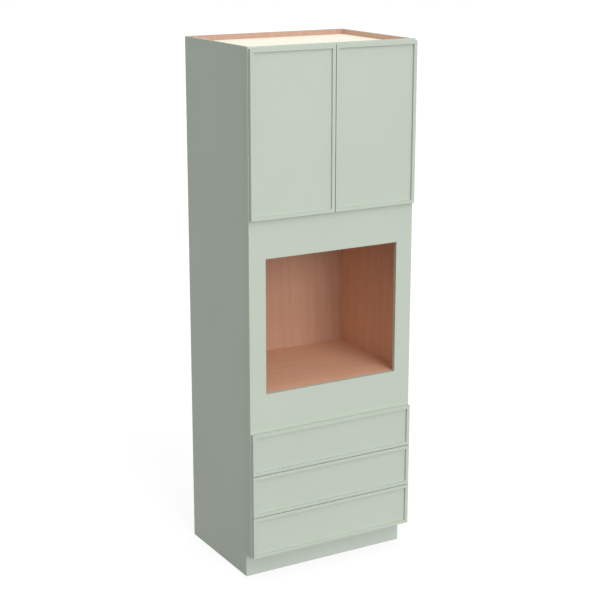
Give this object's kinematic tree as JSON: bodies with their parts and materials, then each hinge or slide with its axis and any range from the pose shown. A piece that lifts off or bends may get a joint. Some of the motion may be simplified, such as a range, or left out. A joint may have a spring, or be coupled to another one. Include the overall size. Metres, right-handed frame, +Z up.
{
  "type": "oven cabinet",
  "caption": "Tall face-frame kitchen cabinet with an open bay for a built-in oven, hinged slim-shaker doors above and dovetailed slide-out drawers below.",
  "frame": {"origin": "middle of the base of the whole object's box, on the floor", "axes": "+X is the viewer's right, +Y runs from the doors to the wall behind, +Z is up"},
  "size_m": [0.8508, 0.6302, 2.4384],
  "materials": {
    "sage_paint": "satin sage-green paint over wood",
    "natural_wood": "clear-coated natural hardwood and plywood",
    "zinc_steel": "bright zinc-plated sheet steel",
    "nickel_steel": "nickel-plated steel",
    "clear_rubber": "translucent soft rubber"
  },
  "bodies": {
    "cabinet": {"left_side_panel": "sage_paint", "right_side_panel": "sage_paint", "toe_kick_board": "sage_paint", "left_stile": "sage_paint", "right_stile": "sage_paint", "top_rail": "sage_paint", "oven_upper_rail": "sage_paint", "oven_lower_rail": "sage_paint", "oven_left_filler": "sage_paint", "oven_right_filler": "sage_paint", "drawer_rails": "sage_paint", "bottom_rail": "sage_paint", "back_panel": "natural_wood", "top_panel": "natural_wood", "upper_deck": "natural_wood", "oven_deck": "natural_wood", "bottom_panel": "natural_wood", "hanging_rails": "natural_wood", "oven_deck_cleats": "natural_wood", "cupboard_shelf": "natural_wood", "shelf_pins": "nickel_steel", "slide_cabinet_members": "zinc_steel", "slide_rear_brackets": "zinc_steel", "left_hinge_arms": "nickel_steel", "right_hinge_arms": "nickel_steel"},
    "left_links": {"left_hinge_links": "nickel_steel"},
    "left_door": {"left_door_stiles": "sage_paint", "left_door_rails": "sage_paint", "left_door_panel": "sage_paint", "left_hinge_cups": "nickel_steel", "left_door_bumpers": "clear_rubber"},
    "right_links": {"right_hinge_links": "nickel_steel"},
    "right_door": {"right_door_stiles": "sage_paint", "right_door_rails": "sage_paint", "right_door_panel": "sage_paint", "right_hinge_cups": "nickel_steel", "right_door_bumpers": "clear_rubber"},
    "drawer_1": {"drawer_1_front_frame": "sage_paint", "drawer_1_front_panel": "sage_paint", "drawer_1_box_sides": "natural_wood", "drawer_1_box_ends": "natural_wood", "drawer_1_box_floor": "natural_wood", "drawer_1_slide_inner_members": "zinc_steel"},
    "drawer_1_middle": {"drawer_1_slide_middle_members": "zinc_steel"},
    "drawer_2": {"drawer_2_front_frame": "sage_paint", "drawer_2_front_panel": "sage_paint", "drawer_2_box_sides": "natural_wood", "drawer_2_box_ends": "natural_wood", "drawer_2_box_floor": "natural_wood", "drawer_2_slide_inner_members": "zinc_steel"},
    "drawer_2_middle": {"drawer_2_slide_middle_members": "zinc_steel"},
    "drawer_3": {"drawer_3_front_frame": "sage_paint", "drawer_3_front_panel": "sage_paint", "drawer_3_box_sides": "natural_wood", "drawer_3_box_ends": "natural_wood", "drawer_3_box_floor": "natural_wood", "drawer_3_slide_inner_members": "zinc_steel"},
    "drawer_3_middle": {"drawer_3_slide_middle_members": "zinc_steel"}
  },
  "joints": [
    {"name": "left_link_swing", "type": "hinge", "parent": "cabinet", "child": "left_links", "pos_m": [-0.38025, -0.28253, 2.06378], "axis": [0, 0, -1], "range_deg": [-37.8, 0]},
    {"name": "left_door_swing", "type": "hinge", "parent": "left_links", "child": "left_door", "pos_m": [-0.41065, -0.29973, 2.06378], "axis": [0, 0, -1], "range_deg": [0, 142.8]},
    {"name": "right_link_swing", "type": "hinge", "parent": "cabinet", "child": "right_links", "pos_m": [0.38025, -0.28253, 2.06378], "axis": [0, 0, 1], "range_deg": [-37.8, 0]},
    {"name": "right_door_swing", "type": "hinge", "parent": "right_links", "child": "right_door", "pos_m": [0.41065, -0.29973, 2.06378], "axis": [0, 0, 1], "range_deg": [0, 142.8]},
    {"name": "drawer_1_slide", "type": "slide", "parent": "cabinet", "child": "drawer_1", "axis": [0, -1, 0], "range_m": [0, 0.52]},
    {"name": "drawer_1_middle_slide", "type": "slide", "parent": "cabinet", "child": "drawer_1_middle", "axis": [0, -1, 0], "range_m": [0, 0.26]},
    {"name": "drawer_2_slide", "type": "slide", "parent": "cabinet", "child": "drawer_2", "axis": [0, -1, 0], "range_m": [0, 0.52]},
    {"name": "drawer_2_middle_slide", "type": "slide", "parent": "cabinet", "child": "drawer_2_middle", "axis": [0, -1, 0], "range_m": [0, 0.26]},
    {"name": "drawer_3_slide", "type": "slide", "parent": "cabinet", "child": "drawer_3", "axis": [0, -1, 0], "range_m": [0, 0.52]},
    {"name": "drawer_3_middle_slide", "type": "slide", "parent": "cabinet", "child": "drawer_3_middle", "axis": [0, -1, 0], "range_m": [0, 0.26]}
  ],
  "couplings": [
    {"joint": "left_link_swing", "follows": "left_door_swing", "ratio": -0.2647},
    {"joint": "right_link_swing", "follows": "right_door_swing", "ratio": -0.2647},
    {"joint": "drawer_1_middle_slide", "follows": "drawer_1_slide", "ratio": 0.5},
    {"joint": "drawer_2_middle_slide", "follows": "drawer_2_slide", "ratio": 0.5},
    {"joint": "drawer_3_middle_slide", "follows": "drawer_3_slide", "ratio": 0.5}
  ]
}
